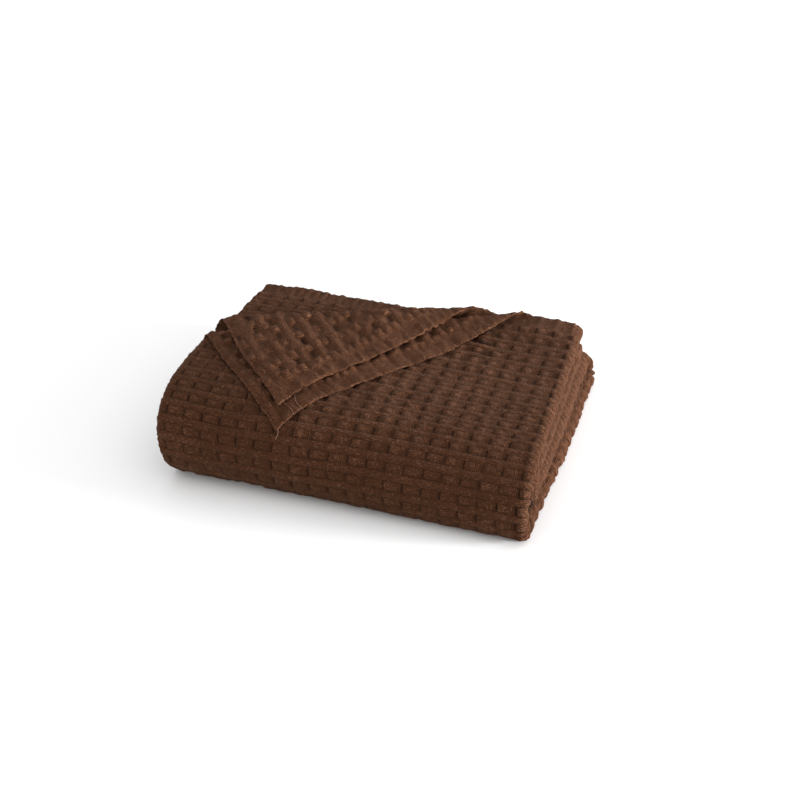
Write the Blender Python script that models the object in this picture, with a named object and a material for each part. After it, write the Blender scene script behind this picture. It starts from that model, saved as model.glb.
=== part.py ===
"""A waffle weave cotton blanket, folded for a shelf with its top back corner turned down.

The cloth is one closed sheet. It is built flat and then folded in three steps: in four across its
width, which makes a strip of four layers; at one corner of the strip's two top layers, which turns
that corner over towards the front; and in four along the strip, with its end on top.
X runs along the folded length, Y from the front nose to the back, Z up. The origin is the middle
of the flat face on which the blanket rests.
"""

import math
from collections import namedtuple

import bmesh
import bpy
from mathutils import Matrix, Vector

# Driving sizes, in metres
FOLDED_LENGTH = 0.57  # left end to right end of the top layers
LAYER_STEP = 0.008  # one layer to the next
CLOTH_THICKNESS = 0.005  # across the raised weave
BACK_FOLD_Y = 0.475  # outside of the back fold
HEM_Y = 0.428  # end of the cloth on top, at the back
NOSE_Y = -0.036  # front of the nose, where y = 0 is the front edge of the resting face
INNER_NOSE_Y = 0.018  # front of the fold inside the nose
SHOULDER_RADIUS = 0.130  # middle of the strip where the top begins to bend down towards the nose
SHOULDER_TURN = 25
FOOT_RADIUS = 0.036  # middle of the strip round the lower part of the nose
ON_LINE = 1e-6  # points this near to a line are taken to lie on it

STRIP_STEP = 4 * LAYER_STEP  # one four-layer strip to the next
HALF_STRIP = 1.5 * LAYER_STEP  # middle of a strip to the middle of its outer layers
STRIP_BOTTOM = HALF_STRIP + CLOTH_THICKNESS / 2  # underside to the middle of the lowest strip
SHOULDER_DROP = SHOULDER_RADIUS * (1 - math.cos(math.radians(SHOULDER_TURN)))
NOSE_RADIUS = (3 * STRIP_STEP - SHOULDER_DROP - FOOT_RADIUS) / math.cos(math.radians(SHOULDER_TURN))
TOP_Z = STRIP_BOTTOM + 3 * STRIP_STEP + STRIP_BOTTOM

Fold = namedtuple("Fold", "name run steps radius turn turn_steps")
Crease = namedtuple("Crease", "left_y back_x corner_x corner_y radius back_radius")

# Across the width: the strip's four layers, each a run and the turn that follows it
layer_run = FOLDED_LENGTH - HALF_STRIP
small_turn = LAYER_STEP / 2
ACROSS = (
    Fold("top layer", layer_run, 7, HALF_STRIP, -180, 6),
    Fold("fourth layer", layer_run - small_turn, 4, small_turn, -180, 4),
    Fold("third layer", layer_run - small_turn, 5, small_turn, 180, 4),
    Fold("second layer", layer_run, 7, 0, 0, 0),
)

# Along the strip: from the end on top, round the nose to the bottom, and back inside
nose_centre_line = NOSE_Y + STRIP_BOTTOM
shoulder_sine = math.sin(math.radians(SHOULDER_TURN))
shoulder_y = nose_centre_line + SHOULDER_RADIUS * shoulder_sine + NOSE_RADIUS * (1 - shoulder_sine)
back_centre_line = BACK_FOLD_Y - STRIP_BOTTOM - STRIP_STEP / 2
inner_centre_line = INNER_NOSE_Y + STRIP_BOTTOM + STRIP_STEP / 2
bottom_run = back_centre_line - nose_centre_line - FOOT_RADIUS
ALONG = (
    Fold("top pass", HEM_Y - shoulder_y, 6, SHOULDER_RADIUS, SHOULDER_TURN, 3),
    Fold("nose", 0, 0, NOSE_RADIUS, 90 - SHOULDER_TURN, 4),
    Fold("foot", 0, 0, FOOT_RADIUS, 90, 5),
    Fold("bottom pass", bottom_run, 4, STRIP_STEP / 2, 180, 7),
    Fold("third pass", back_centre_line - inner_centre_line, 4, STRIP_STEP / 2, -180, 7),
    Fold("second pass", HEM_Y - inner_centre_line, 4, 0, 0, 0),
)

# The turned corner: where each layer's crease meets the left side and the back end, and where its
# corner comes to lie, with y measured along the cloth as if the nose were flat
CREASES = {
    "top layer": Crease(0.165, 0.486, 0.194, -0.008, 0.0038, 0.0052),
    "second layer": Crease(0.203, 0.452, 0.184, 0.020, 0.0117, 0.0131),
}
CORNER_BOW = 0.20  # how much fuller the middle of the turned corner lies than its tip
SETTLE_REACH = 0.06  # from a crease to where the turned corner lies down on the pile
CREASE_CUTS = 6  # flat strips round each crease
NOSE_CUTS = 5  # lines across the turned corner where it lies over the nose
NOSE_CUT_STEP = 0.018
TURNED_DEPTH = 0.30  # from the cloth's end, holds the whole turned corner

HEM_ARCH = 0.004  # how far the top layer's end stands up beside the turned corner
HEM_ARCH_X = 0.475
HEM_ARCH_REACH = (0.10, 0.09)  # to each side, and in from the end

# Unevenness of the folded pile. Each part is a share of the pile's depth or height.
LEFT_HEIGHT = 1.135  # the pile's height at its left end, as a share of its even height
RIGHT_HEIGHT = 0.925
BACK_HEIGHT = (-0.050, 0.075)  # added towards the back, at the left end and at the right end
NOSE_HEIGHT = -0.045  # added at the nose
UNDERLAP = 0.013  # how far the lowest layers reach out at the right end
TUCK = 0.013  # how far the lowest layers draw in at the left end, measured from the top layers
LEFT_REACH = 0.007  # how far the top layers reach out at the left end
TOP_DRAW = 0.008  # how far the top layers draw in at the right end, at the back
RIGHT_LEAN = 0.034  # how far the top of the nose leans back at the right end
FOOT_REACH = 0.013  # how far the foot of the nose reaches forward at the right end
FRONT_PART = 0.45  # over which the nose's leaning and reaching fade out
NOSE_PART = 0.40  # over which the nose's own height fades out
BACK_PART = (0.45, 0.50)  # where the back's own height starts, and over which it grows
LOW_PART = 0.62  # of the height, over which the underlap fades out
LEFT_PART = 0.30  # over which the left reach grows
UNDERLAP_START = 0.30  # share of the underlap's growth that the nose already has


def smooth(value):
    """0 to 1 with soft ends."""
    t = min(1.0, max(0.0, value))
    return t * t * (3 - 2 * t)


def fold_length(folds):
    return sum(f.run + f.radius * math.radians(abs(f.turn)) for f in folds)


def along_fold(folds, start, heading, distance):
    """Point, left-hand normal and name of the section at a distance along a folded line."""
    point = Vector(start)
    angle = math.radians(heading)
    for fold in folds:
        forward = Vector((math.cos(angle), math.sin(angle)))
        left = Vector((-forward.y, forward.x))
        arc = fold.radius * math.radians(abs(fold.turn))
        if distance <= fold.run or (fold is folds[-1] and arc == 0):
            return point + forward * distance, left, fold.name
        point = point + forward * fold.run
        distance -= fold.run
        side = math.copysign(1, fold.turn)
        centre = point + left * side * fold.radius
        swing = math.copysign(min(distance, arc) / fold.radius if arc else 0, fold.turn)
        if distance <= arc:
            turned = Matrix.Rotation(swing, 2) @ (point - centre)
            return centre + turned, Matrix.Rotation(swing, 2) @ left, fold.name
        point = centre + Matrix.Rotation(swing, 2) @ (point - centre)
        angle += swing
        distance -= arc
    raise ValueError("the distance lies past the end of the folded line")


def grid_lines(folds):
    """Distances along a folded line at which the flat sheet is divided."""
    lines = [0.0]
    for fold in folds:
        arc = fold.radius * math.radians(abs(fold.turn))
        for length, steps in ((fold.run, fold.steps), (arc, fold.turn_steps)):
            start = lines[-1]
            lines += [start + length * (i + 1) / steps for i in range(steps)]
    return lines


def crease_frame(crease):
    """Start of a crease, its direction, and the direction from it towards the turned corner."""
    start = Vector((0, crease.left_y))
    along = Vector((crease.back_x, HEM_Y)) - start
    length = along.length
    along = along / length
    return start, along, Vector((-along.y, along.x)), length


def lay_direction(crease):
    """The way that the turned corner lies, for each metre past the roll of its crease, and its reach."""
    start, along, outward, _ = crease_frame(crease)
    corner = Vector((0, HEM_Y)) - start
    corner_foot = start + along * corner.dot(along)
    reach = corner.dot(outward) - math.pi * crease.radius
    return (Vector((crease.corner_x, crease.corner_y)) - corner_foot) / reach, reach


def turn_corner(crease, x, y, height, offset):
    """Moves a point of a layer that lies past its crease over and back towards the front."""
    start, along, outward, length = crease_frame(crease)
    place = Vector((x, y)) - start
    beyond = place.dot(outward)
    if beyond <= 0:
        return x, y, height + offset
    share = smooth(place.dot(along) / length)
    radius = crease.radius + (crease.back_radius - crease.radius) * share
    foot = start + along * place.dot(along)
    if beyond < math.pi * radius:
        angle = beyond / radius
        moved = foot + outward * math.sin(angle) * (radius - offset)
        return moved.x, moved.y, height + radius - math.cos(angle) * (radius - offset)
    laid = beyond - math.pi * radius
    lay, reach = lay_direction(crease)
    moved = foot + lay * laid * (1 + CORNER_BOW * (1 - laid / reach))
    settle = 2 * (radius - crease.radius) * smooth(laid / SETTLE_REACH)
    return moved.x, moved.y, height + 2 * radius - settle - offset


def hem_arch(x, y):
    """Rise of the top layer's end beside the turned corner."""
    aside, inward = HEM_ARCH_REACH
    return HEM_ARCH * smooth(1 - abs(x - HEM_ARCH_X) / aside) * smooth(1 - (HEM_Y - y) / inward)


def settle_pile(x, y, z):
    """The pile's uneven height, front and ends. The resting face stays flat."""
    right = smooth(x / FOLDED_LENGTH)
    back = (y - NOSE_Y) / (BACK_FOLD_Y - NOSE_Y)
    level = min(1, z / TOP_Z)
    front = smooth(1 - back / FRONT_PART)
    underlap = UNDERLAP * smooth(1 - level / LOW_PART) * smooth(UNDERLAP_START + back)
    rise = BACK_HEIGHT[0] + (BACK_HEIGHT[1] - BACK_HEIGHT[0]) * right
    height = LEFT_HEIGHT + (RIGHT_HEIGHT - LEFT_HEIGHT) * right
    height += rise * smooth((back - BACK_PART[0]) / BACK_PART[1]) + NOSE_HEIGHT * smooth(1 - back / NOSE_PART)
    y += front * right * (RIGHT_LEAN * level - FOOT_REACH * (1 - level) ** 2)
    x += right * (underlap - TOP_DRAW * level * smooth(back))
    x += (1 - right) * (TUCK * smooth(1 - level) - LEFT_REACH * smooth(back / LEFT_PART))
    return x, y, z * height


def place_cloth(across, along, offset):
    """Where a point of the flat cloth comes to lie. The offset is measured from its middle."""
    point, normal, layer = along_fold(ACROSS, (0, HALF_STRIP), 0, across)
    x, height = point
    y = HEM_Y - along
    if layer in CREASES and abs(normal.x) < ON_LINE and along < TURNED_DEPTH:
        offset_up = offset * normal.y
        if layer == "top layer":
            height += hem_arch(x, y)
        x, y, height = turn_corner(CREASES[layer], x, y, height, offset_up)
    else:
        x += normal.x * offset
        height += normal.y * offset
    distance = max(HEM_Y - y, 0)
    spare = min(HEM_Y - y, 0)
    centre, left, _ = along_fold(ALONG, (HEM_Y, TOP_Z - STRIP_BOTTOM), 180, distance)
    place = centre - left * height
    return settle_pile(x, place.x - spare, place.y)


def flat_sheet(mesh):
    """The cloth laid out flat, as a grid of quads with x across it and y along it."""
    across_lines = grid_lines(ACROSS)
    along_lines = grid_lines(ALONG)
    rows = [[mesh.verts.new((u, v, 0)) for u in across_lines] for v in along_lines]
    for near, far in zip(rows, rows[1:]):
        for i in range(len(across_lines) - 1):
            mesh.faces.new((near[i], near[i + 1], far[i + 1], far[i]))


def cut_layer(mesh, layer, on_line, normal):
    """Divides one of the two turned layers of the flat sheet by a line through it."""
    width = fold_length(ACROSS)
    free_side, sign = (0, 1) if layer == "top layer" else (width, -1)
    point = Vector((free_side + sign * on_line.x, HEM_Y - on_line.y, 0))
    middles = {face: face.calc_center_median() for face in mesh.faces}
    faces = [f for f, m in middles.items() if abs(m.x - free_side) < layer_run and m.y < TURNED_DEPTH]
    geometry = list({item for face in faces for item in (face, *face.verts, *face.edges)})
    across = Vector((sign * normal.x, -normal.y, 0))
    bmesh.ops.bisect_plane(mesh, geom=geometry, dist=ON_LINE, plane_co=point, plane_no=across)


def cut_turned_corner(mesh, layer, crease):
    """Divides a turned layer along its crease, and where its corner lies over the nose."""
    start, along, outward, _ = crease_frame(crease)
    roll = math.pi * max(crease.radius, crease.back_radius)
    for i in range(CREASE_CUTS + 1):
        cut_layer(mesh, layer, start + outward * roll * i / CREASE_CUTS, outward)
    lay, _ = lay_direction(crease)
    slope = along * along.y + outward * lay.y
    for i in range(NOSE_CUTS):
        lies_at = shoulder_y - i * NOSE_CUT_STEP
        past = (lies_at - start.y) / lay.y + math.pi * crease.radius
        cut_layer(mesh, layer, start + outward * past, slope)


def add_thickness(mesh):
    """Gives the flat sheet its second face and its four edges, and closes it."""
    lower = {v: mesh.verts.new((v.co.x, v.co.y, 0)) for v in list(mesh.verts)}
    border = [e for e in mesh.edges if len(e.link_faces) == 1]
    walls = []
    for edge in border:
        loop = edge.link_loops[0]
        a, b = loop.vert, loop.link_loop_next.vert
        walls.append((b, a, lower[a], lower[b]))
    upper_faces = list(mesh.faces)
    for face in upper_faces:
        mesh.faces.new([lower[v] for v in reversed(face.verts)])
    for wall in walls:
        mesh.faces.new(wall)
    return lower


def cotton():
    material = bpy.data.materials.new("brown cotton")
    material.use_nodes = True
    shader = material.node_tree.nodes["Principled BSDF"]
    shader.inputs["Base Color"].default_value = (0.085, 0.034, 0.018, 1)
    shader.inputs["Roughness"].default_value = 0.95
    shader.inputs["Metallic"].default_value = 0.0
    return material


def make_blanket():
    mesh = bmesh.new()
    flat_sheet(mesh)
    for layer, crease in CREASES.items():
        cut_turned_corner(mesh, layer, crease)
    bmesh.ops.triangulate(mesh, faces=mesh.faces)
    lower = add_thickness(mesh)
    flat = {v: (v.co.x, v.co.y, CLOTH_THICKNESS / 2) for v in lower}
    flat.update({lower[v]: (v.co.x, v.co.y, -CLOTH_THICKNESS / 2) for v in lower})
    for vert, (across, along, offset) in flat.items():
        vert.co = place_cloth(across, along, offset)
    xs, ys, zs = zip(*(v.co for v in mesh.verts))
    origin = Vector(((min(xs) + max(xs)) / 2, (min(ys) + max(ys)) / 2, min(zs)))
    bmesh.ops.translate(mesh, verts=mesh.verts, vec=-origin)
    bmesh.ops.recalc_face_normals(mesh, faces=mesh.faces)
    data = bpy.data.meshes.new("blanket")
    mesh.to_mesh(data)
    mesh.free()
    data.materials.append(cotton())
    blanket = bpy.data.objects.new("blanket", data)
    bpy.context.scene.collection.objects.link(blanket)
    data.shade_smooth()


for old in list(bpy.data.objects):
    bpy.data.objects.remove(old, do_unlink=True)
make_blanket()
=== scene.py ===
import math
from collections import namedtuple

import bpy
import numpy as np
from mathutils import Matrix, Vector


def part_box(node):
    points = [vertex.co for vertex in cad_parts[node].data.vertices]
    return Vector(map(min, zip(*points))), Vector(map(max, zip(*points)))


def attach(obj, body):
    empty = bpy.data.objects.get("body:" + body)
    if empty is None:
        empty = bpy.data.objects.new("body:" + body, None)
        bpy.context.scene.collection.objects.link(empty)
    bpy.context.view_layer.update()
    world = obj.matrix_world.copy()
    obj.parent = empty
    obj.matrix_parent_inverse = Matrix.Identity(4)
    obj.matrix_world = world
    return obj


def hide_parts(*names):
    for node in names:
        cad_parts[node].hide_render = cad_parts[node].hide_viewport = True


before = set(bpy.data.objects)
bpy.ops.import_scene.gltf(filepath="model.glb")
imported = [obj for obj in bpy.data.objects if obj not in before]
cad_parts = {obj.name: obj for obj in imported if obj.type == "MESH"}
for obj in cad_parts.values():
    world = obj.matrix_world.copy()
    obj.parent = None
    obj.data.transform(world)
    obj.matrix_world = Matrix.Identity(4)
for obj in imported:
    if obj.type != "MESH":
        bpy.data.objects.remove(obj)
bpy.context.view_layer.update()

# The blanket: one width of brown waffle weave cotton, woven with a flat hem band at each end and a
# narrow selvage down each side. First its folds: in four across its width, then one corner of the
# two top layers turned over towards the front, then the strip in four with its end on top.

FOLDED_LENGTH = 0.57  # left end to right end of the top layers, in metres
LAYER_STEP = 0.008  # one layer to the next
CLOTH_THICKNESS = 0.005
BACK_FOLD_Y = 0.475
HEM_Y = 0.428  # end of the cloth on top, at the back
NOSE_Y = -0.036
INNER_NOSE_Y = 0.018
SHOULDER_RADIUS = 0.130
SHOULDER_TURN = 25
FOOT_RADIUS = 0.036

STRIP_STEP = 4 * LAYER_STEP
HALF_STRIP = 1.5 * LAYER_STEP
STRIP_BOTTOM = HALF_STRIP + CLOTH_THICKNESS / 2
SHOULDER_DROP = SHOULDER_RADIUS * (1 - math.cos(math.radians(SHOULDER_TURN)))
NOSE_RADIUS = (3 * STRIP_STEP - SHOULDER_DROP - FOOT_RADIUS) / math.cos(math.radians(SHOULDER_TURN))
TOP_Z = STRIP_BOTTOM + 3 * STRIP_STEP + STRIP_BOTTOM

Fold = namedtuple("Fold", "name run radius turn")
Crease = namedtuple("Crease", "left_y back_x corner_x corner_y radius back_radius")

layer_run = FOLDED_LENGTH - HALF_STRIP
small_turn = LAYER_STEP / 2
ACROSS = (
    Fold("top layer", layer_run, HALF_STRIP, -180),
    Fold("fourth layer", layer_run - small_turn, small_turn, -180),
    Fold("third layer", layer_run - small_turn, small_turn, 180),
    Fold("second layer", layer_run, 0, 0),
)
TOP, FOURTH, THIRD, SECOND = range(4)

nose_line = NOSE_Y + STRIP_BOTTOM
shoulder_sine = math.sin(math.radians(SHOULDER_TURN))
shoulder_y = nose_line + SHOULDER_RADIUS * shoulder_sine + NOSE_RADIUS * (1 - shoulder_sine)
back_line = BACK_FOLD_Y - STRIP_BOTTOM - STRIP_STEP / 2
inner_line = INNER_NOSE_Y + STRIP_BOTTOM + STRIP_STEP / 2
ALONG = (
    Fold("top pass", HEM_Y - shoulder_y, SHOULDER_RADIUS, SHOULDER_TURN),
    Fold("nose", 0, NOSE_RADIUS, 90 - SHOULDER_TURN),
    Fold("foot", 0, FOOT_RADIUS, 90),
    Fold("bottom pass", back_line - nose_line - FOOT_RADIUS, STRIP_STEP / 2, 180),
    Fold("third pass", back_line - inner_line, STRIP_STEP / 2, -180),
    Fold("second pass", HEM_Y - inner_line, 0, 0),
)

# Where each turned layer's crease meets the left side and the back end, and where its corner lies
CREASES = {
    TOP: Crease(0.165, 0.486, 0.194, -0.008, 0.0038, 0.0052),
    SECOND: Crease(0.203, 0.452, 0.184, 0.020, 0.0117, 0.0131),
}
CORNER_BOW = 0.20
SETTLE_REACH = 0.06
TURNED_DEPTH = 0.30
HEM_ARCH = 0.0055
HEM_ARCH_X = 0.505
HEM_ARCH_REACH = (0.10, 0.09)

# Unevenness of the folded pile, each a share of its depth or height or a distance
LEFT_HEIGHT = 1.135
RIGHT_HEIGHT = 0.925
BACK_HEIGHT = (-0.032, 0.085)
NOSE_HEIGHT = -0.045
UNDERLAP = 0.013
TUCK = 0.013
LEFT_REACH = 0.007
TOP_DRAW = 0.008
RIGHT_LEAN = 0.034
FOOT_REACH = 0.013
FRONT_PART = 0.45
NOSE_PART = 0.40
BACK_PART = (0.45, 0.50)
LOW_PART = 0.62
LEFT_PART = 0.30
UNDERLAP_START = 0.30

WIDTH = sum(f.run + f.radius * math.radians(abs(f.turn)) for f in ACROSS)
LENGTH = sum(f.run + f.radius * math.radians(abs(f.turn)) for f in ALONG)


def smooth(value):
    """0 to 1 with soft ends."""
    t = np.clip(value, 0, 1)
    return t * t * (3 - 2 * t)


def along_fold(folds, start, heading, distance):
    """Points on a folded line, their left-hand normals, sections and whether they are on a turn."""
    point = np.zeros((len(distance), 2))
    normal = np.zeros((len(distance), 2))
    section = np.zeros(len(distance), int)
    turning = np.zeros(len(distance), bool)
    corner = np.array(start, float)
    angle = math.radians(heading)
    begun = 0.0
    for number, fold in enumerate(folds):
        forward = np.array((math.cos(angle), math.sin(angle)))
        left = np.array((-forward[1], forward[0]))
        here = distance >= begun if number else np.ones(len(distance), bool)
        point[here] = corner + forward * (distance[here] - begun)[:, None]
        normal[here] = left
        section[here] = number
        turning[here] = False
        corner = corner + forward * fold.run
        begun += fold.run
        arc = fold.radius * math.radians(abs(fold.turn))
        if arc:
            here = distance > begun
            side = math.copysign(1, fold.turn)
            centre = corner + left * side * fold.radius
            swing = side * np.minimum(distance[here] - begun, arc) / fold.radius
            cosine, sine = np.cos(swing), np.sin(swing)
            for target, arm, origin in ((point, corner - centre, centre), (normal, left, 0)):
                turned = np.stack((arm[0] * cosine - arm[1] * sine, arm[0] * sine + arm[1] * cosine), 1)
                target[here] = turned + origin
            turning[here] = True
            total = math.radians(fold.turn)
            arm = corner - centre
            corner = centre + np.array((arm[0] * math.cos(total) - arm[1] * math.sin(total),
                                        arm[0] * math.sin(total) + arm[1] * math.cos(total)))
            angle += total
            begun += arc
    return point, normal, section, turning


def crease_frame(crease):
    """Start of a crease, its direction, the direction towards the turned corner, and its length."""
    start = np.array((0, crease.left_y))
    along = np.array((crease.back_x, HEM_Y)) - start
    length = math.hypot(*along)
    along = along / length
    return start, along, np.array((-along[1], along[0])), length


def beyond_crease(crease, x, y):
    """How far points lie past a crease, towards the corner that it turns."""
    start, _, outward, _ = crease_frame(crease)
    return (np.stack((x, y), 1) - start) @ outward


def turn_corner(crease, x, y, height, offset):
    """Moves what lies past a layer's crease over and back towards the front."""
    start, along, outward, length = crease_frame(crease)
    place = np.stack((x, y), 1) - start
    beyond, run = place @ outward, place @ along
    radius = crease.radius + (crease.back_radius - crease.radius) * smooth(run / length)
    foot = start + along * run[:, None]
    corner = np.array((0, HEM_Y)) - start
    corner_foot = start + along * (corner @ along)
    reach = corner @ outward - math.pi * crease.radius
    lay = (np.array((crease.corner_x, crease.corner_y)) - corner_foot) / reach
    angle = np.clip(beyond / radius, 0, math.pi)
    rolled = foot + outward * (np.sin(angle) * (radius - offset))[:, None]
    laid = np.maximum(beyond - math.pi * radius, 0)
    rolled = rolled + lay * (laid * (1 + CORNER_BOW * (1 - laid / reach)))[:, None]
    settle = 2 * (radius - crease.radius) * smooth(laid / SETTLE_REACH)
    turned = beyond > 0
    x = np.where(turned, rolled[:, 0], x)
    y = np.where(turned, rolled[:, 1], y)
    lift = radius - np.cos(angle) * (radius - offset) - settle
    return x, y, height + np.where(turned, lift, offset)


def hem_arch(x, y):
    """Rise of the top layer's end beside the turned corner."""
    aside, inward = HEM_ARCH_REACH
    return HEM_ARCH * smooth(1 - abs(x - HEM_ARCH_X) / aside) * smooth(1 - (HEM_Y - y) / inward)


def settle_pile(x, y, z):
    """The pile's uneven height, front and ends. The resting face stays flat."""
    right = smooth(x / FOLDED_LENGTH)
    back = (y - NOSE_Y) / (BACK_FOLD_Y - NOSE_Y)
    level = np.minimum(1, z / TOP_Z)
    front = smooth(1 - back / FRONT_PART)
    underlap = UNDERLAP * smooth(1 - level / LOW_PART) * smooth(UNDERLAP_START + back)
    rise = BACK_HEIGHT[0] + (BACK_HEIGHT[1] - BACK_HEIGHT[0]) * right
    height = LEFT_HEIGHT + (RIGHT_HEIGHT - LEFT_HEIGHT) * right
    height = height + rise * smooth((back - BACK_PART[0]) / BACK_PART[1])
    height = height + NOSE_HEIGHT * smooth(1 - back / NOSE_PART)
    moved_y = y + front * right * (RIGHT_LEAN * level - FOOT_REACH * (1 - level) ** 2)
    moved_x = x + right * (underlap - TOP_DRAW * level * smooth(back))
    moved_x = moved_x + (1 - right) * (TUCK * smooth(1 - level) - LEFT_REACH * smooth(back / LEFT_PART))
    return np.stack((moved_x, moved_y, z * height), 1)


def place_cloth(across, along, offset):
    """Where points of the flat cloth come to lie. Offsets are measured from its middle."""
    point, normal, section, turning = along_fold(ACROSS, (0, HALF_STRIP), 0, across)
    x, height, y = point[:, 0], point[:, 1], HEM_Y - along
    near_end = ~turning & (along < TURNED_DEPTH)
    height = np.where(near_end & (section == TOP), height + hem_arch(x, y), height)
    moved_x = x + normal[:, 0] * offset
    moved_y = y
    moved_height = height + normal[:, 1] * offset
    for layer, crease in CREASES.items():
        turned = turn_corner(crease, x, y, height, offset * normal[:, 1])
        chosen = near_end & (section == layer)
        moved_x = np.where(chosen, turned[0], moved_x)
        moved_y = np.where(chosen, turned[1], moved_y)
        moved_height = np.where(chosen, turned[2], moved_height)
    distance = np.maximum(HEM_Y - moved_y, 0)
    spare = np.minimum(HEM_Y - moved_y, 0)
    centre, left, _, _ = along_fold(ALONG, (HEM_Y, TOP_Z - STRIP_BOTTOM), 180, distance)
    place = centre - left * moved_height[:, None]
    return settle_pile(moved_x, place[:, 0] - spare, place[:, 1])


# The weave: raised bands run across the width, and rows of puffed squares stand between them, with a
# slit at the left of each square and a low ribbed patch at its right. The wrong side has ridges down
# its length, a pad and a hollow in each repeat. The hem bands and selvages are flat.

ACROSS_REPEATS = 80
ALONG_REPEATS = 65
BAND_REPEATS = 1.4  # width of a hem band
FIRST_SLIT = 0.5  # of a repeat, from the selvage
REPEAT = WIDTH / ACROSS_REPEATS
OUTER_LAYER = HALF_STRIP + CLOTH_THICKNESS / 2  # from a strip's middle to its outer face
FRONT_GATHER = 1.16  # how much closer the rows lie round the front, where the cloth is drawn down
TABLE_STEPS = 4001

# Where the cloth's surface is divided, as shares of a repeat: at slits, shoulders and crowns
SLIT_LINES = (0.0, 0.05, 0.13, 0.27, 0.41, 0.49, 0.56, 0.75, 0.93)
ROW_LINES = (0.0, 0.07, 0.17, 0.32, 0.43, 0.50, 0.58, 0.70, 0.82, 0.93)
EDGE_LINES = (0.0, 0.05, 0.14, 0.26, 0.38, 0.46)
BAND_LINES = (0.0, 0.04, 0.12, 0.30, 0.55, 0.80, 0.95, 1.10, 1.25, 1.34)

# The distance down the outer layer for each distance down the middle of the strip
table_v = np.linspace(0, LENGTH, TABLE_STEPS)
row_rate = np.ones(TABLE_STEPS)
begun = 0.0
for fold in ALONG:
    begun += fold.run
    arc = fold.radius * math.radians(abs(fold.turn))
    if fold.turn > 0:
        gather = FRONT_GATHER if fold.name in ("top pass", "nose", "foot") else 1
        row_rate[(table_v > begun) & (table_v <= begun + arc)] = gather * (1 + OUTER_LAYER / fold.radius)
    begun += arc
table_w = np.concatenate(((0,), np.cumsum(row_rate[1:]) * (table_v[1] - table_v[0])))
OUTER_LENGTH = table_w[-1]
ROW_REPEAT = (OUTER_LENGTH - 2 * BAND_REPEATS * REPEAT) / ALONG_REPEATS
BAND = BAND_REPEATS * REPEAT


def lines(first, cell_lines, step, start, count, last):
    """Distances of the lines that divide the cloth, from one edge to the other."""
    cells = [start + step * (i + share) for i in range(count) for share in cell_lines]
    return np.array([*first, *cells, *last])


column_u = lines([e * REPEAT for e in EDGE_LINES], SLIT_LINES, REPEAT, FIRST_SLIT * REPEAT,
                 ACROSS_REPEATS - 1, [WIDTH - e * REPEAT for e in (FIRST_SLIT, *reversed(EDGE_LINES))])
row_w = lines([e * REPEAT for e in BAND_LINES], ROW_LINES, ROW_REPEAT, BAND, ALONG_REPEATS,
              [OUTER_LENGTH - e * REPEAT for e in (BAND_REPEATS, *reversed(BAND_LINES))])
row_v = np.interp(row_w, table_w, table_v)


def raised(t, low, high, soft):
    """1 between two shares of a repeat, falling softly to 0 at both."""
    return smooth((t - low) / soft) * smooth((high - t) / soft)


def soft_noise(x, y, reach, seed):
    """Soft random hills from -1 to 1, about a reach wide."""
    size = 97
    rng = np.random.default_rng(seed)
    grid = rng.uniform(-1, 1, (size, size))
    gx, gy = x / reach, y / reach
    ix, iy = np.floor(gx).astype(int), np.floor(gy).astype(int)
    fx, fy = smooth(gx - ix), smooth(gy - iy)
    corners = [grid[(iy + j) % size, (ix + i) % size] for j in (0, 1) for i in (0, 1)]
    near = corners[0] * (1 - fx) + corners[1] * fx
    far = corners[2] * (1 - fx) + corners[3] * fx
    return near * (1 - fy) + far * fy


# Heights and depths of the weave's parts from its mean surface, in metres
FACE_LEVEL = -0.0006
SQUARE_HEIGHT = 0.0017
BAND_HEIGHT = 0.0017
SLIT_DEPTH = 0.0019
GROOVE_DEPTH = 0.0005
WRONG_SIDE_LEVEL = -0.0007
RIDGE_HEIGHT = 0.0024
PAD_HEIGHT = 0.0022
HOLE_DEPTH = 0.0024
FLAT_EDGE_SINK = 0.0005

# Where the parts lie, as shares of a repeat: low side, high side and how soft their edges are
SQUARE_COLUMNS = (0.03, 0.60)
SQUARE_SOFT = (0.10, 0.20)
SQUARE_ROWS = (-0.01, 0.52, 0.12)
BAND_ROWS = (0.50, 1.00, 0.15)
BAND_CREST = 0.30
SLIT_REACH = (0.065, 0.10)
SLIT_ROWS = (-0.02, 0.54, 0.08)
GROOVE_ROW = 0.50
GROOVE_REACH = 0.07
EDGE_GROOVE_REACH = 0.06
RIDGE_COLUMNS = (0.48, 1.02, 0.10)
RIDGE_CREST = 0.75
PAD_COLUMNS = (0.00, 0.52, 0.12)
PAD_ROWS = (0.46, 1.02, 0.12)
HOLE_COLUMNS = (0.08, 0.44, 0.10)
HOLE_ROWS = (0.00, 0.52, 0.10)

LINE_NUDGE = 1e-6  # of a repeat, so that a dividing line counts with the repeat that it begins
CHANCES = 6  # random values that each repeat has
cell_chance = np.random.default_rng(11).uniform(0, 1, (CHANCES, ALONG_REPEATS + 4, ACROSS_REPEATS + 4))


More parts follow.
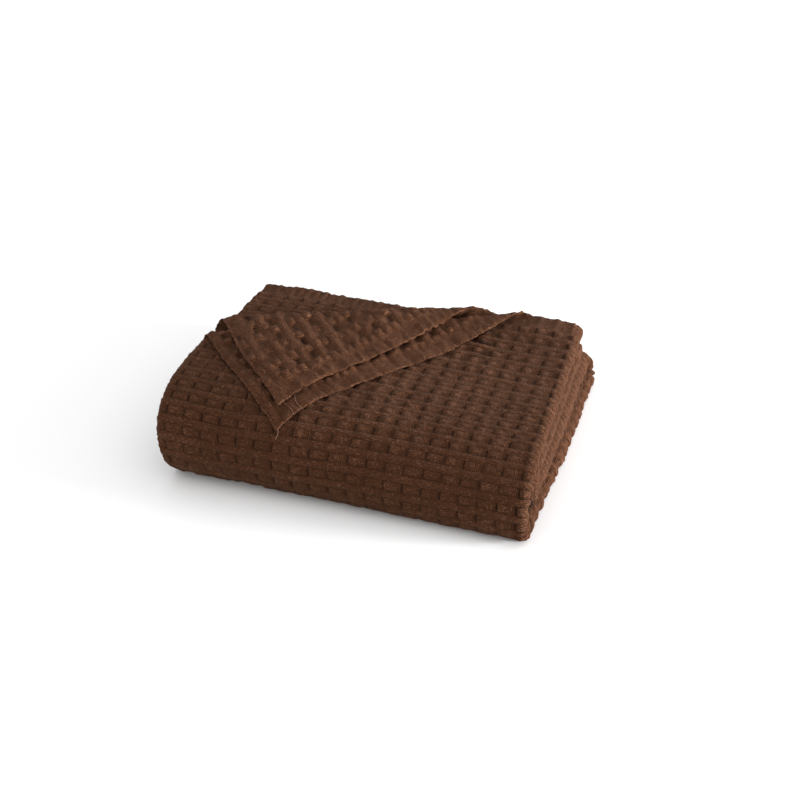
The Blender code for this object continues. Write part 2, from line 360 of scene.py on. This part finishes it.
def weave_relief(u, w, wrong_side):
    """Height of the weave over its mean surface, in metres, and the painted shade in its slits, grooves and
    holes, from 0 to 1.
    """
    a_cell = (u / REPEAT) - FIRST_SLIT
    b_cell = (w - BAND) / ROW_REPEAT
    column = np.clip(np.floor(a_cell + LINE_NUDGE).astype(int), -1, ACROSS_REPEATS) + 1
    row = np.clip(np.floor(b_cell + LINE_NUDGE).astype(int), -1, ALONG_REPEATS) + 1
    a = (a_cell + LINE_NUDGE) % 1
    b = (b_cell + LINE_NUDGE) % 1
    chance = cell_chance[:, row, column]
    square_left = smooth((a - SQUARE_COLUMNS[0]) / SQUARE_SOFT[0])
    square_right = smooth((SQUARE_COLUMNS[1] - a) / SQUARE_SOFT[1])
    square = square_left * square_right * raised(b, *SQUARE_ROWS)
    band = raised(b, *BAND_ROWS) * (0.85 + 0.15 * np.cos(2 * math.pi * (a - BAND_CREST)))
    slit = np.maximum(smooth(1 - a / SLIT_REACH[0]), smooth(1 - (1 - a) / SLIT_REACH[1]))
    slit = slit * raised(b, *SLIT_ROWS)
    edge_groove = 0.7 * smooth(1 - np.minimum(b, 1 - b) / EDGE_GROOVE_REACH)
    grooves = np.maximum(smooth(1 - abs(b - GROOVE_ROW) / GROOVE_REACH), edge_groove)
    face = FACE_LEVEL + SQUARE_HEIGHT * square * (0.6 + 0.8 * chance[0])
    face = face + BAND_HEIGHT * band * (0.75 + 0.5 * chance[1])
    face -= SLIT_DEPTH * slit * (0.5 + chance[2]) + GROOVE_DEPTH * grooves
    # Painted shade: darker colour in the slits and along the grooves, where little light reaches
    face_painted_shade = np.maximum(slit * (0.50 + 0.50 * chance[2]), (0.12 + 0.35 * chance[4]) * grooves)
    ridge = raised(a, *RIDGE_COLUMNS) * (0.8 + 0.2 * np.cos(2 * math.pi * (b - RIDGE_CREST)))
    pad = raised(a, *PAD_COLUMNS) * raised(b, *PAD_ROWS)
    hole = raised(a, *HOLE_COLUMNS) * raised(b, *HOLE_ROWS)
    back = WRONG_SIDE_LEVEL + RIDGE_HEIGHT * ridge * (0.5 + chance[3])
    back = back + PAD_HEIGHT * pad * (0.4 + 1.2 * chance[4])
    back -= HOLE_DEPTH * hole * (0.1 + 1.4 * chance[5])
    # Painted shade: darker colour in the wrong side's holes
    back_painted_shade = hole * (0.20 + 0.75 * chance[5] ** 2)
    relief = np.where(wrong_side, back, face)
    painted_shade = np.where(wrong_side, back_painted_shade, face_painted_shade)
    plain = flat_edge(u, w, wrong_side)
    # Painted shade along the grooves round the right-hand fold
    painted_shade = np.maximum(painted_shade, 0.8 * grooves * round_fold(u) * ~wrong_side)
    return relief * (1 - plain) - FLAT_EDGE_SINK * plain, painted_shade * (1 - plain)


ROUND_FOLD_REACH = 0.028
HEM_BACK_SHARES = (0.86, 0.62)  # of its width that a hem band shows on the wrong side, left and right half


def round_fold(u):
    """1 at the middle of the right-hand fold, falling softly to 0."""
    return smooth(1 - abs(u - FOLDED_LENGTH) / ROUND_FOLD_REACH)


def flat_edge(u, w, wrong_side):
    """1 on the hem bands and selvages, 0 on the waffle."""
    end = np.minimum(w, OUTER_LENGTH - w)
    side = np.minimum(u, WIDTH - u)
    back_share = np.where(u > WIDTH / 2, HEM_BACK_SHARES[1], HEM_BACK_SHARES[0])
    hem_width = BAND * np.where(wrong_side, back_share, 1)
    hem = 1 - smooth((end - hem_width * 0.93) / (BAND * 0.07))
    selvage = 1 - smooth((side - 0.10 * REPEAT) / (0.10 * REPEAT))
    return np.maximum(hem, selvage)


# The cloth as one closed sheet of cotton: its two faces, divided finely where they can be seen and into
# plain tiles where they lie inside the pile, and joined round its edge, where the yarns end unevenly.

HIDDEN_HALF = 0.0019  # half the thickness that the hidden layers are drawn with
HEM_HALF = 0.0013
EDGE_HALF = 0.0007
RAGGED = 0.0019  # how far the yarns stand out at the cloth's edges
SHIFT = 0.0022  # how far the weave wanders
SHIFT_REACH = 0.10
LUMPS = 0.0011  # soft unevenness of the faces that can be seen
LUMPS_REACH = 0.045
CRUMPLE_AT = (0.41, 0.115)  # across and along the cloth, where its weave is pushed together
CRUMPLE_REACH = 0.075
ROLL_PUFF = 0.35  # how much more the weave stands out round the right-hand fold
LOW_ROLL_PUFF = 1.6
INNER_ROLL_PUFF = -0.25
END_WAVE = 0.0011  # how far the cloth's ends rise and fall
END_SCALLOP = 0.0014  # and how far at each half repeat
GAP_SHADE = 0.8  # how dark the narrow gap is between the right-hand fold and the layer under it
GAP_REACH = 0.009
EDGE_ROUND = 0.0035  # how far in from its edge the hem band comes to its full thickness
CRUMPLE_HEIGHT = 0.0022
CRUMPLE_FOLDS = 0.012  # about how wide the crumpled patch's own creases are
YARN_LUMPS = 0.0007  # unevenness of the yarns on the face, and on the wrong side
WRONG_SIDE_YARN_LUMPS = 0.0016
FULL_RELIEF = 0.0015  # the height that counts as 1 for the cotton's colour
YARN_LUMPS_REACH = 0.008


def nearest(values, wanted):
    """Numbers of the lines nearest to the wanted distances."""
    return [int(np.argmin(abs(values - w))) for w in wanted]


def turns(folds):
    """Start and end of each turn of a folded line."""
    begun, found = 0.0, []
    for fold in folds:
        begun += fold.run
        arc = fold.radius * math.radians(abs(fold.turn))
        if arc:
            found.append((begun, begun + arc))
        begun += arc
    return found


side_turns = turns(ACROSS)
ROLL_START, ROLL_END = side_turns[0]
long_turns = turns(ALONG)
FOOT_END = long_turns[2][1]
BACK_TURN = long_turns[3]

cell_starts = [(FIRST_SLIT + i) * REPEAT for i in range(ACROSS_REPEATS)]
hidden_starts = [u for u in cell_starts if side_turns[0][1] + 0.03 < u < side_turns[1][0] - 0.02]
column_cuts = set(nearest(column_u, [0, WIDTH, *(u for u in cell_starts if u not in hidden_starts)]))
column_cuts |= set(nearest(column_u, hidden_starts[::5]))
column_cuts |= set(nearest(column_u, np.linspace(ROLL_START, ROLL_END, 7)))
for start, end in side_turns[1:]:
    column_cuts |= set(np.nonzero((column_u > start - 0.003) & (column_u < end + 0.003))[0].tolist())
column_cuts = np.array(sorted(column_cuts))

row_starts = [np.interp(BAND + ROW_REPEAT * i, table_w, table_v) for i in range(ALONG_REPEATS + 1)]
shown_rows = [v for v in row_starts if v < FOOT_END]
deep_rows = [v for v in row_starts if v >= FOOT_END]
row_cuts = set(nearest(row_v, [0, LENGTH, *shown_rows, *deep_rows[::2], deep_rows[-1]]))
for (start, end), count in zip(long_turns[1:], (6, 6, 9, 7)):
    row_cuts |= set(nearest(row_v, np.linspace(start, end, count)))
row_cuts = np.array(sorted(row_cuts))


SEEN_MARGIN = 0.6  # repeats that are drawn finely past what can be seen
TURNED_REPEATS = 3.2  # of a turned corner's other face that can be seen along its edges
TURN_MARGIN = 0.004
BACK_SEEN = 0.045  # of the third pass that can be seen past the fold at the back


def is_shown(u, v, outer):
    """Which tiles of the outer or the inner face can be seen from outside the pile."""
    point, _, section, turning = along_fold(ACROSS, (0, HALF_STRIP), 0, u)
    x, y = point[:, 0], HEM_Y - v
    past_top = beyond_crease(CREASES[TOP], x, y)
    past_second = beyond_crease(CREASES[SECOND], x, y)
    near_end = v < TURNED_DEPTH
    margin = SEEN_MARGIN * REPEAT
    if not outer:
        turned = (section == TOP) & near_end & (past_top > -margin)
        return turned & ((u < TURNED_REPEATS * REPEAT) | (v < TURNED_REPEATS * REPEAT))
    on_top = u < ROLL_END + TURN_MARGIN
    covered = near_end & (past_top > math.pi * CREASES[TOP].back_radius + margin) & (x < FOLDED_LENGTH - 0.01)
    front = on_top & (v < FOOT_END + TURN_MARGIN) & ~covered
    behind = on_top & (v > BACK_TURN[0] + TURN_MARGIN) & (v < BACK_TURN[1] + BACK_SEEN)
    roll = (u > ROLL_START) & on_top
    left_fold = turning & (abs(u - side_turns[1][0] - 0.006) < 0.012)
    third = (section == THIRD) & near_end & (past_second > -0.2 * margin)
    second = (section == SECOND) & near_end & (past_second > -margin)
    return front | behind | roll | left_fold | third | second


def half_thickness(u, w, v, outer, shown):
    """Half the cloth's thickness at each point: full where seen or resting, thin at its edges."""
    half = np.where(shown, CLOTH_THICKNESS / 2, HIDDEN_HALF)
    resting = outer & (u < ROLL_END) & (v > FOOT_END) & (v < BACK_TURN[0])
    half = np.where(resting, CLOTH_THICKNESS / 2, half)
    edge = np.minimum(np.minimum(w, OUTER_LENGTH - w), np.minimum(u, WIDTH - u))
    plain = flat_edge(u, w, False)
    rim = EDGE_HALF + (HEM_HALF - EDGE_HALF) * np.sqrt(np.clip(edge / EDGE_ROUND, 0, 1))
    return half * (1 - plain) + np.minimum(rim, half) * plain


faces = []
records = []  # of each vertex: across, along, row distance, whether on the outer face, whether fine
index = {}


def vertex(key, u, v, w, outer, fine):
    """Number of the vertex with this key, made when it is first asked for."""
    if key not in index:
        index[key] = len(records)
        records.append((u, v, w, outer, fine))
    elif fine and not records[index[key]][4]:
        records[index[key]] = (u, v, w, outer, True)
    return index[key]


columns = list(zip(column_cuts, column_cuts[1:]))
rows = list(zip(row_cuts, row_cuts[1:]))
middle_u = np.array([(column_u[i] + column_u[j]) / 2 for i, j in columns])
middle_v = np.array([(row_v[i] + row_v[j]) / 2 for i, j in rows])
grid_u, grid_v = np.meshgrid(middle_u, middle_v)
fine = {}
for outer in (True, False):
    fine[outer] = is_shown(grid_u.ravel(), grid_v.ravel(), outer).reshape(grid_u.shape)


def steps(low, high, split):
    """Line numbers along one side of a tile: all of them, or only its ends."""
    return list(range(low, high + 1)) if split else [low, high]


for outer in (True, False):
    shown = fine[outer]

    def corner(i, j, divided):
        """The vertex where two dividing lines cross, on this face."""
        return vertex((outer, i, j), column_u[i], row_v[j], row_w[j], outer, divided)

    for r, (j0, j1) in enumerate(rows):
        for c, (i0, i1) in enumerate(columns):
            if shown[r, c]:
                for j in range(j0, j1):
                    for i in range(i0, i1):
                        quad = [corner(i, j, True), corner(i + 1, j, True),
                                corner(i + 1, j + 1, True), corner(i, j + 1, True)]
                        faces.append(quad if outer else quad[::-1])
                continue
            near = r == 0 or shown[r - 1, c]
            far = r == len(rows) - 1 or shown[r + 1, c]
            left = c == 0 or shown[r, c - 1]
            right = c == len(columns) - 1 or shown[r, c + 1]
            ring = [corner(i, j0, False) for i in steps(i0, i1, near)]
            ring += [corner(i1, j, False) for j in steps(j0, j1, right)[1:]]
            ring += [corner(i, j1, False) for i in steps(i0, i1, far)[-2::-1]]
            ring += [corner(i0, j, False) for j in steps(j0, j1, left)[-2:0:-1]]
            if len(ring) == 4:
                faces.append(ring if outer else ring[::-1])
                continue
            middle_w = np.interp(middle_v[r], table_v, table_w)
            centre = vertex((outer, "middle", c, r), middle_u[c], middle_v[r], middle_w, outer, False)
            for p, q in zip(ring, ring[1:] + ring[:1]):
                faces.append([centre, p, q] if outer else [centre, q, p])

last_i, last_j = len(column_u) - 1, len(row_v) - 1
edge_walk = [(i, 0) for i in range(last_i)] + [(last_i, j) for j in range(last_j)]
edge_walk += [(i, last_j) for i in range(last_i, 0, -1)] + [(0, j) for j in range(last_j, 0, -1)]
for a_end, b_end in zip(edge_walk, edge_walk[1:] + edge_walk[:1]):
    a_key, b_key = (True, *a_end), (True, *b_end)
    faces.append([index[b_key], index[a_key], index[(False, *a_end)], index[(False, *b_end)]])

table = np.array([(u, v, w) for u, v, w, _, _ in records])
u, v, w = table.T
outer = np.array([r[3] for r in records])
divided = np.array([r[4] for r in records])
second_layer = u > side_turns[2][1]
wrong_side = np.where(second_layer, outer, ~outer)
relief, painted_shade = weave_relief(u, w, wrong_side)
crumple = smooth(1 - np.hypot(u - CRUMPLE_AT[0], v - CRUMPLE_AT[1]) / CRUMPLE_REACH)
low_pass = (v > long_turns[1][0]) & (v < BACK_TURN[1])
inner_pass = v > BACK_TURN[1]
relief *= 1 + 0.9 * crumple + round_fold(u) * np.where(low_pass, LOW_ROLL_PUFF,
                                                      np.where(inner_pass, INNER_ROLL_PUFF, ROLL_PUFF))
creases = soft_noise(u, v, CRUMPLE_FOLDS, 8)
relief += LUMPS * soft_noise(u, v, LUMPS_REACH, 5) + CRUMPLE_HEIGHT * crumple * creases
relief += np.where(wrong_side, WRONG_SIDE_YARN_LUMPS, YARN_LUMPS) * soft_noise(u, w, YARN_LUMPS_REACH, 7)
# Painted shade in the crumpled patch's creases and in the narrow gap under the right-hand fold
painted_shade = np.maximum(painted_shade, crumple * smooth(creases * -2))
painted_shade = np.maximum(painted_shade, GAP_SHADE * smooth(1 - abs(u - ROLL_END + 0.001) / GAP_REACH) * outer)
relief = np.where(divided, relief, 0)
painted_shade = np.where(divided, painted_shade, 0)
half = half_thickness(u, w, v, outer, divided)
end = np.minimum(w, OUTER_LENGTH - w)
inside = (u > side_turns[0][1]) & (u < side_turns[2][0])
scallop = np.cos(4 * math.pi * (u / REPEAT - FIRST_SLIT)) * np.where(inside, END_SCALLOP, END_SCALLOP / 3)
wave = END_WAVE * soft_noise(u, w * 0, 0.5 * REPEAT, 12) + scallop
wave *= smooth(1 - end / (1.8 * REPEAT))
offset = np.where(outer, half + relief, -half - relief) + wave
side = np.minimum(u, WIDTH - u)
end_side = np.where(w < OUTER_LENGTH / 2, 1, -1)
side_side = np.where(u < WIDTH / 2, 1, -1)
at_end = 1 - smooth(end / (0.20 * REPEAT))
at_side = 1 - smooth(side / (0.15 * REPEAT))
end_yarns = np.random.default_rng(6).uniform(0, 1, len(column_u))
side_yarns = np.random.default_rng(9).uniform(0, 1, len(row_w))
ragged_end = RAGGED * at_end * (end_yarns[np.searchsorted(column_u, u - 1e-9)] - 0.6)
ragged_side = RAGGED * at_side * (side_yarns[np.searchsorted(row_w, w - 1e-9)] - 0.6)
moved_u = u + SHIFT * soft_noise(u, v, SHIFT_REACH, 3) + side_side * ragged_side
moved_v = v + SHIFT * soft_noise(u, v, SHIFT_REACH, 4) + end_side * (ragged_end + at_end * scallop)
places = place_cloth(moved_u, moved_v, offset)
places[:, 2] = np.maximum(places[:, 2], 0)
plan = place_cloth(u, v, np.where(outer, 1, -1) * CLOTH_THICKNESS / 2)
low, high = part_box("blanket")
centring = np.array(((low.x + high.x) / 2, (low.y + high.y) / 2))
centring -= (plan[:, :2].min(0) + plan[:, :2].max(0)) / 2
places[:, :2] += centring

mesh = bpy.data.meshes.new("blanket_cloth")
mesh.from_pydata(places.tolist(), [], faces)
mesh.shade_smooth()
blanket = bpy.data.objects.new("blanket_cloth", mesh)
bpy.context.scene.collection.objects.link(blanket)

weave_map = mesh.uv_layers.new(name="weave")
corner_verts = np.empty(len(mesh.loops), np.int32)
mesh.loops.foreach_get("vertex_index", corner_verts)
weave_at = np.stack((u / REPEAT - FIRST_SLIT, (w - BAND) / ROW_REPEAT), 1)
weave_map.data.foreach_set("uv", weave_at[corner_verts].astype(np.float32).ravel())
# The painted shade mask goes with the mesh as an attribute, beside the weave's relief
for name, values in (("painted_shade", painted_shade), ("wrong_side", wrong_side),
                     ("relief", relief / FULL_RELIEF), ("rim", np.maximum(at_end, at_side))):
    mesh.attributes.new(name, "FLOAT", "POINT").data.foreach_set("value", values.astype(np.float32))


# The cotton: thick soft yarns, about ten to a repeat, dyed one brown and a little worn and fuzzy. They
# run along the weave's own bands and ridges. Its slits, grooves, holes and creases get painted shade,
# and the weave's crowns and the yarns' crowns get painted light.

def add(nodes, kind, **values):
    """A new shader node with the given settings."""
    node = nodes.new("ShaderNode" + kind)
    for name, value in values.items():
        setattr(node, name, value)
    return node


def maths(tree, operation, *inputs):
    """The result of one sum, whose inputs are numbers or other nodes' results."""
    node = add(tree.nodes, "Math", operation=operation)
    for socket, value in zip(node.inputs, inputs):
        if isinstance(value, (int, float)):
            socket.default_value = value
        else:
            tree.links.new(value, socket)
    return node.outputs[0]


def yarn_group():
    """The yarns' ridges and their uneven colour, from the place in the weave."""
    tree = bpy.data.node_groups.new("cotton yarns", "ShaderNodeTree")
    for name, kind in (("Weave", "NodeSocketVector"), ("Wrong Side", "NodeSocketFloat"),
                       ("Yarns", "NodeSocketFloat")):
        tree.interface.new_socket(name=name, in_out="INPUT", socket_type=kind)
    for name in ("Ridges", "Streaks", "Cells"):
        tree.interface.new_socket(name=name, in_out="OUTPUT", socket_type="NodeSocketFloat")
    start = tree.nodes.new("NodeGroupInput")
    finish = tree.nodes.new("NodeGroupOutput")
    place = add(tree.nodes, "SeparateXYZ")
    tree.links.new(start.outputs["Weave"], place.inputs[0])
    a = maths(tree, "FRACT", place.outputs[0])
    b = maths(tree, "FRACT", place.outputs[1])

    def ridge(along):
        """Round yarns side by side in one direction."""
        turn = maths(tree, "MULTIPLY", maths(tree, "MULTIPLY", along, math.pi), start.outputs["Yarns"])
        return maths(tree, "ABSOLUTE", maths(tree, "SINE", turn))

    right = maths(tree, "GREATER_THAN", a, 0.54)
    in_row = maths(tree, "LESS_THAN", b, 0.50)
    ribbed = maths(tree, "MULTIPLY", right, in_row)
    warp_shows = add(tree.nodes, "Mix", data_type="FLOAT")
    tree.links.new(start.outputs["Wrong Side"], warp_shows.inputs[0])
    tree.links.new(ribbed, warp_shows.inputs[2])
    tree.links.new(maths(tree, "GREATER_THAN", a, 0.50), warp_shows.inputs[3])
    ridges = add(tree.nodes, "Mix", data_type="FLOAT")
    tree.links.new(warp_shows.outputs[0], ridges.inputs[0])
    tree.links.new(ridge(place.outputs[1]), ridges.inputs[2])
    tree.links.new(ridge(place.outputs[0]), ridges.inputs[3])
    tree.links.new(ridges.outputs[0], finish.inputs["Ridges"])

    def fibre(stretch_a, stretch_b, scale):
        """Streaks of uneven colour, drawn out across or along the cloth."""
        stretch = add(tree.nodes, "Mapping")
        stretch.inputs["Scale"].default_value = (stretch_a, stretch_b, 1)
        tree.links.new(start.outputs["Weave"], stretch.inputs["Vector"])
        noise = add(tree.nodes, "TexNoise", noise_dimensions="2D")
        noise.inputs["Scale"].default_value = scale
        noise.inputs["Detail"].default_value = 3
        tree.links.new(stretch.outputs[0], noise.inputs["Vector"])
        return noise.outputs["Fac"]

    streaks = add(tree.nodes, "Mix", data_type="FLOAT")
    tree.links.new(warp_shows.outputs[0], streaks.inputs[0])
    tree.links.new(fibre(1.0, 5.0, 4.5), streaks.inputs[2])
    tree.links.new(fibre(5.0, 1.0, 4.5), streaks.inputs[3])
    tree.links.new(streaks.outputs[0], finish.inputs["Streaks"])
    cell = add(tree.nodes, "VectorMath", operation="FLOOR")
    double = add(tree.nodes, "VectorMath", operation="MULTIPLY")
    double.inputs[1].default_value = (2, 2, 0)
    tree.links.new(start.outputs["Weave"], double.inputs[0])
    tree.links.new(double.outputs[0], cell.inputs[0])
    chance = add(tree.nodes, "TexWhiteNoise", noise_dimensions="2D")
    tree.links.new(cell.outputs[0], chance.inputs["Vector"])
    tree.links.new(chance.outputs["Value"], finish.inputs["Cells"])
    return tree


# The colour of the painted shade in slits, grooves, holes and creases
COTTON_PAINTED_SHADE = (0.012, 0.0040, 0.0018)
COTTON = (0.070, 0.0262, 0.0112)
COTTON_PALE = (0.150, 0.068, 0.037)
CELL_UNEVEN = 0.16  # how much paler or darker each of these makes the cotton
# Painted light: the weave's raised parts paler and its low parts darker, by their height
RELIEF_PAINTED_LIGHT = 0.06
RIM_PALE = 0.16
# Painted light and shade: each yarn's crown paler and the dip between yarns darker
RIDGE_PAINTED_LIGHT = 0.26
TONE_LEVEL = 0.17
FUZZ_UNEVEN = 1.2
STREAK_BUMP = 0.6
FUZZ_BUMP = 1.6

cotton = bpy.data.materials.new("brown cotton")
cotton.use_nodes = True
tree = cotton.node_tree
shader = tree.nodes["Principled BSDF"]
shader.inputs["Roughness"].default_value = 0.92
shader.inputs["Specular IOR Level"].default_value = 0.08
shader.inputs["Sheen Weight"].default_value = 0.05
shader.inputs["Sheen Roughness"].default_value = 0.45
shader.inputs["Sheen Tint"].default_value = (0.85, 0.58, 0.45, 1)
yarns = add(tree.nodes, "Group", node_tree=yarn_group())
yarns.inputs["Yarns"].default_value = 10
weave_uv = add(tree.nodes, "UVMap", uv_map="weave")
tree.links.new(weave_uv.outputs[0], yarns.inputs["Weave"])
own = {}
# These include the painted shade mask and the relief that paints light on the crowns
for name in ("painted_shade", "wrong_side", "relief", "rim"):
    own[name] = add(tree.nodes, "Attribute", attribute_name=name).outputs["Fac"]
tree.links.new(own["wrong_side"], yarns.inputs["Wrong Side"])
tone = add(tree.nodes, "ValToRGB")
tone.color_ramp.elements[0].position = 0.20
tone.color_ramp.elements[0].color = (*[c * 0.70 for c in COTTON], 1)
tone.color_ramp.elements[1].position = 0.62
tone.color_ramp.elements[1].color = (*COTTON, 1)
pale = tone.color_ramp.elements.new(0.95)
pale.color = (*COTTON_PALE, 1)
cell_change = maths(tree, "SUBTRACT", yarns.outputs["Cells"], 0.5)
spread = maths(tree, "ADD", yarns.outputs["Streaks"], maths(tree, "MULTIPLY", cell_change, CELL_UNEVEN))
# Painted light by height: crowns paler, low parts darker
spread = maths(tree, "ADD", spread, maths(tree, "MULTIPLY", own["relief"], RELIEF_PAINTED_LIGHT))
spread = maths(tree, "ADD", spread, maths(tree, "MULTIPLY", own["rim"], RIM_PALE))
# Painted light on the yarns' crowns, painted shade between them
spread = maths(tree, "ADD", spread, maths(tree, "MULTIPLY", yarns.outputs["Ridges"], RIDGE_PAINTED_LIGHT))
spread = maths(tree, "SUBTRACT", spread, TONE_LEVEL)
fuzz = add(tree.nodes, "TexNoise", noise_dimensions="3D")
fuzz.inputs["Scale"].default_value = 330
fuzz.inputs["Detail"].default_value = 2
where = add(tree.nodes, "TexCoord")
tree.links.new(where.outputs["Object"], fuzz.inputs["Vector"])
fuzz_change = maths(tree, "SUBTRACT", fuzz.outputs["Fac"], 0.5)
spread = maths(tree, "ADD", spread, maths(tree, "MULTIPLY", fuzz_change, FUZZ_UNEVEN))
tree.links.new(spread, tone.inputs[0])
# Painted shade: the dark cotton colour mixed in where the mask says little light reaches
shade = add(tree.nodes, "Mix", data_type="RGBA")
shade.inputs[7].default_value = (*COTTON_PAINTED_SHADE, 1)
tree.links.new(own["painted_shade"], shade.inputs[0])
tree.links.new(tone.outputs[0], shade.inputs[6])
tree.links.new(shade.outputs[2], shader.inputs["Base Color"])
streak_height = maths(tree, "MULTIPLY", yarns.outputs["Streaks"], STREAK_BUMP)
height = maths(tree, "ADD", yarns.outputs["Ridges"], streak_height)
height = maths(tree, "ADD", height, maths(tree, "MULTIPLY", fuzz.outputs["Fac"], FUZZ_BUMP))
bump = add(tree.nodes, "Bump")
bump.inputs["Strength"].default_value = 0.9
bump.inputs["Distance"].default_value = 0.0013
tree.links.new(height, bump.inputs["Height"])
tree.links.new(bump.outputs[0], shader.inputs["Normal"])
mesh.materials.append(cotton)

# The loose yarns: the end of the hem's yarn that hangs from the turned corner, and three pulled yarns
# that cross the hem band beside it. Each is one pale cotton yarn, held where it enters the weave.

YARN_RADIUS = 0.0007
YARN_SIDES = 6
YARN_STEPS = 14
TAIL_LENGTH = 0.012
PULLED_YARNS = (0.95, 1.14, 1.38)  # repeats from the selvage
PULLED_LENGTH = 0.040
YARN_BEND = 0.0016  # how far a loose yarn wanders from side to side
TAIL_BENDS = 4.2
TAIL_START = 0.004  # inside the hem band
TAIL_HEIGHT = 0.0088
TAIL_DROOP = 0.0036
PULLED_BENDS = 5
PULLED_SLANT = 0.003
PULLED_START = 0.0005
PULLED_LIFT = 0.0008

pale_cotton = bpy.data.materials.new("pale cotton yarn")
pale_cotton.use_nodes = True
pale_cotton.node_tree.nodes["Principled BSDF"].inputs["Base Color"].default_value = (0.125, 0.056, 0.030, 1)
pale_cotton.node_tree.nodes["Principled BSDF"].inputs["Roughness"].default_value = 0.9
share = np.linspace(0, 1, YARN_STEPS)


def loose_yarn(name, across, along, offset):
    """A round yarn along the given places on the cloth."""
    path = place_cloth(across, along, offset)
    path[:, :2] += centring
    forward = np.gradient(path, axis=0)
    forward /= np.linalg.norm(forward, axis=1)[:, None]
    aside = np.cross(forward, (0.3, 0.2, 1.0))
    aside /= np.linalg.norm(aside, axis=1)[:, None]
    upward = np.cross(aside, forward)
    swing = np.linspace(0, 2 * math.pi, YARN_SIDES, endpoint=False)[None, :, None]
    ring = aside[:, None] * np.cos(swing) + upward[:, None] * np.sin(swing)
    points = (path[:, None] + ring * YARN_RADIUS).reshape(-1, 3)
    sides = [[k * YARN_SIDES + n, k * YARN_SIDES + (n + 1) % YARN_SIDES,
              (k + 1) * YARN_SIDES + (n + 1) % YARN_SIDES, (k + 1) * YARN_SIDES + n]
             for k in range(YARN_STEPS - 1) for n in range(YARN_SIDES)]
    ends = [list(range(YARN_SIDES))[::-1], list(range(len(points) - YARN_SIDES, len(points)))]
    yarn_mesh = bpy.data.meshes.new(name)
    yarn_mesh.from_pydata(points.tolist(), [], sides + ends)
    yarn_mesh.shade_smooth()
    yarn_mesh.materials.append(pale_cotton)
    yarn = bpy.data.objects.new(name, yarn_mesh)
    bpy.context.scene.collection.objects.link(yarn)
    return yarn


tip = CREASES[TOP]
tail_across = tip.corner_x - 0.001 + YARN_BEND * np.sin(TAIL_BENDS * share)
tail_along = HEM_Y - tip.corner_y - TAIL_START + TAIL_LENGTH * share
tail_offset = TAIL_HEIGHT - TAIL_DROOP * smooth(share)
yarn_pieces = [loose_yarn("loose_yarn_tail", tail_across, tail_along, tail_offset)]
for number, at in enumerate(PULLED_YARNS):
    bend = YARN_BEND * np.sin((PULLED_BENDS + number) * share + number)
    pulled_across = at * REPEAT + bend + PULLED_SLANT * number * share
    pulled_along = PULLED_START + PULLED_LENGTH * share
    pulled_offset = np.full(YARN_STEPS, -HEM_HALF - PULLED_LIFT)
    yarn_pieces.append(loose_yarn(f"pulled_yarn_{number + 1}", pulled_across, pulled_along, pulled_offset))

for piece in (blanket, *yarn_pieces):
    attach(piece, "root")
    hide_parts("blanket")

# The floor: a plain board painted a matt pale grey, on which the blanket lies. It is a hair lower than
# the blanket's underside, so that the two faces never lie in one plane.

FLOOR_SIZE = 40
FLOOR_DROP = 0.0004
floor_mesh = bpy.data.meshes.new("floor")
half_floor = FLOOR_SIZE / 2
corners = [(x * half_floor, y * half_floor, -FLOOR_DROP) for x, y in ((-1, -1), (1, -1), (1, 1), (-1, 1))]
floor_mesh.from_pydata(corners, [], [(0, 1, 2, 3)])
floor = bpy.data.objects.new("floor", floor_mesh)
bpy.context.scene.collection.objects.link(floor)
floor_paint = bpy.data.materials.new("pale floor")
floor_paint.use_nodes = True
floor_paint.node_tree.nodes["Principled BSDF"].inputs["Base Color"].default_value = (0.93, 0.93, 0.93, 1)
floor_paint.node_tree.nodes["Principled BSDF"].inputs["Roughness"].default_value = 0.8
floor_paint.node_tree.nodes["Principled BSDF"].inputs["Specular IOR Level"].default_value = 0.0
floor_mesh.materials.append(floor_paint)

# The light: an even white room, and one square lamp with a soft front, low down at the right, which
# brings out the weave's relief.

world = bpy.data.worlds.new("studio")
bpy.context.scene.world = world
world.use_nodes = True
world.node_tree.nodes["Background"].inputs["Color"].default_value = (1, 1, 1, 1)
world.node_tree.nodes["Background"].inputs["Strength"].default_value = 1.1
bpy.context.scene.view_settings.view_transform = "Standard"


def soft_light(name, azimuth, elevation, distance, size, power):
    """A square lamp that faces the blanket. Azimuth 0 is the front and 90 the right."""
    lamp = bpy.data.lights.new(name, "AREA")
    lamp.size = size
    lamp.energy = power
    light = bpy.data.objects.new(name, lamp)
    a, e = math.radians(azimuth), math.radians(elevation)
    towards = Vector((math.sin(a) * math.cos(e), -math.cos(a) * math.cos(e), math.sin(e)))
    light.location = towards * distance
    light.rotation_euler = towards.to_track_quat("Z", "Y").to_euler()
    bpy.context.scene.collection.objects.link(light)


soft_light("key light", azimuth=98, elevation=6, distance=3.4, size=0.7, power=270)

# The camera: at the front and a little to the right, looking down on the blanket. Its place is in
# metres and its angles are in degrees.

LENS = 55.67
CAMERA_AT = Vector((0.543, -1.625, 1.086))
CAMERA_YAW = 17.8
CAMERA_PITCH = 31.2
camera = bpy.data.objects.new("camera", bpy.data.cameras.new("camera"))
camera.data.lens = LENS
camera.location = CAMERA_AT
camera.rotation_euler = (math.radians(90 - CAMERA_PITCH), 0, math.radians(CAMERA_YAW))
bpy.context.scene.collection.objects.link(camera)
bpy.context.scene.camera = camera
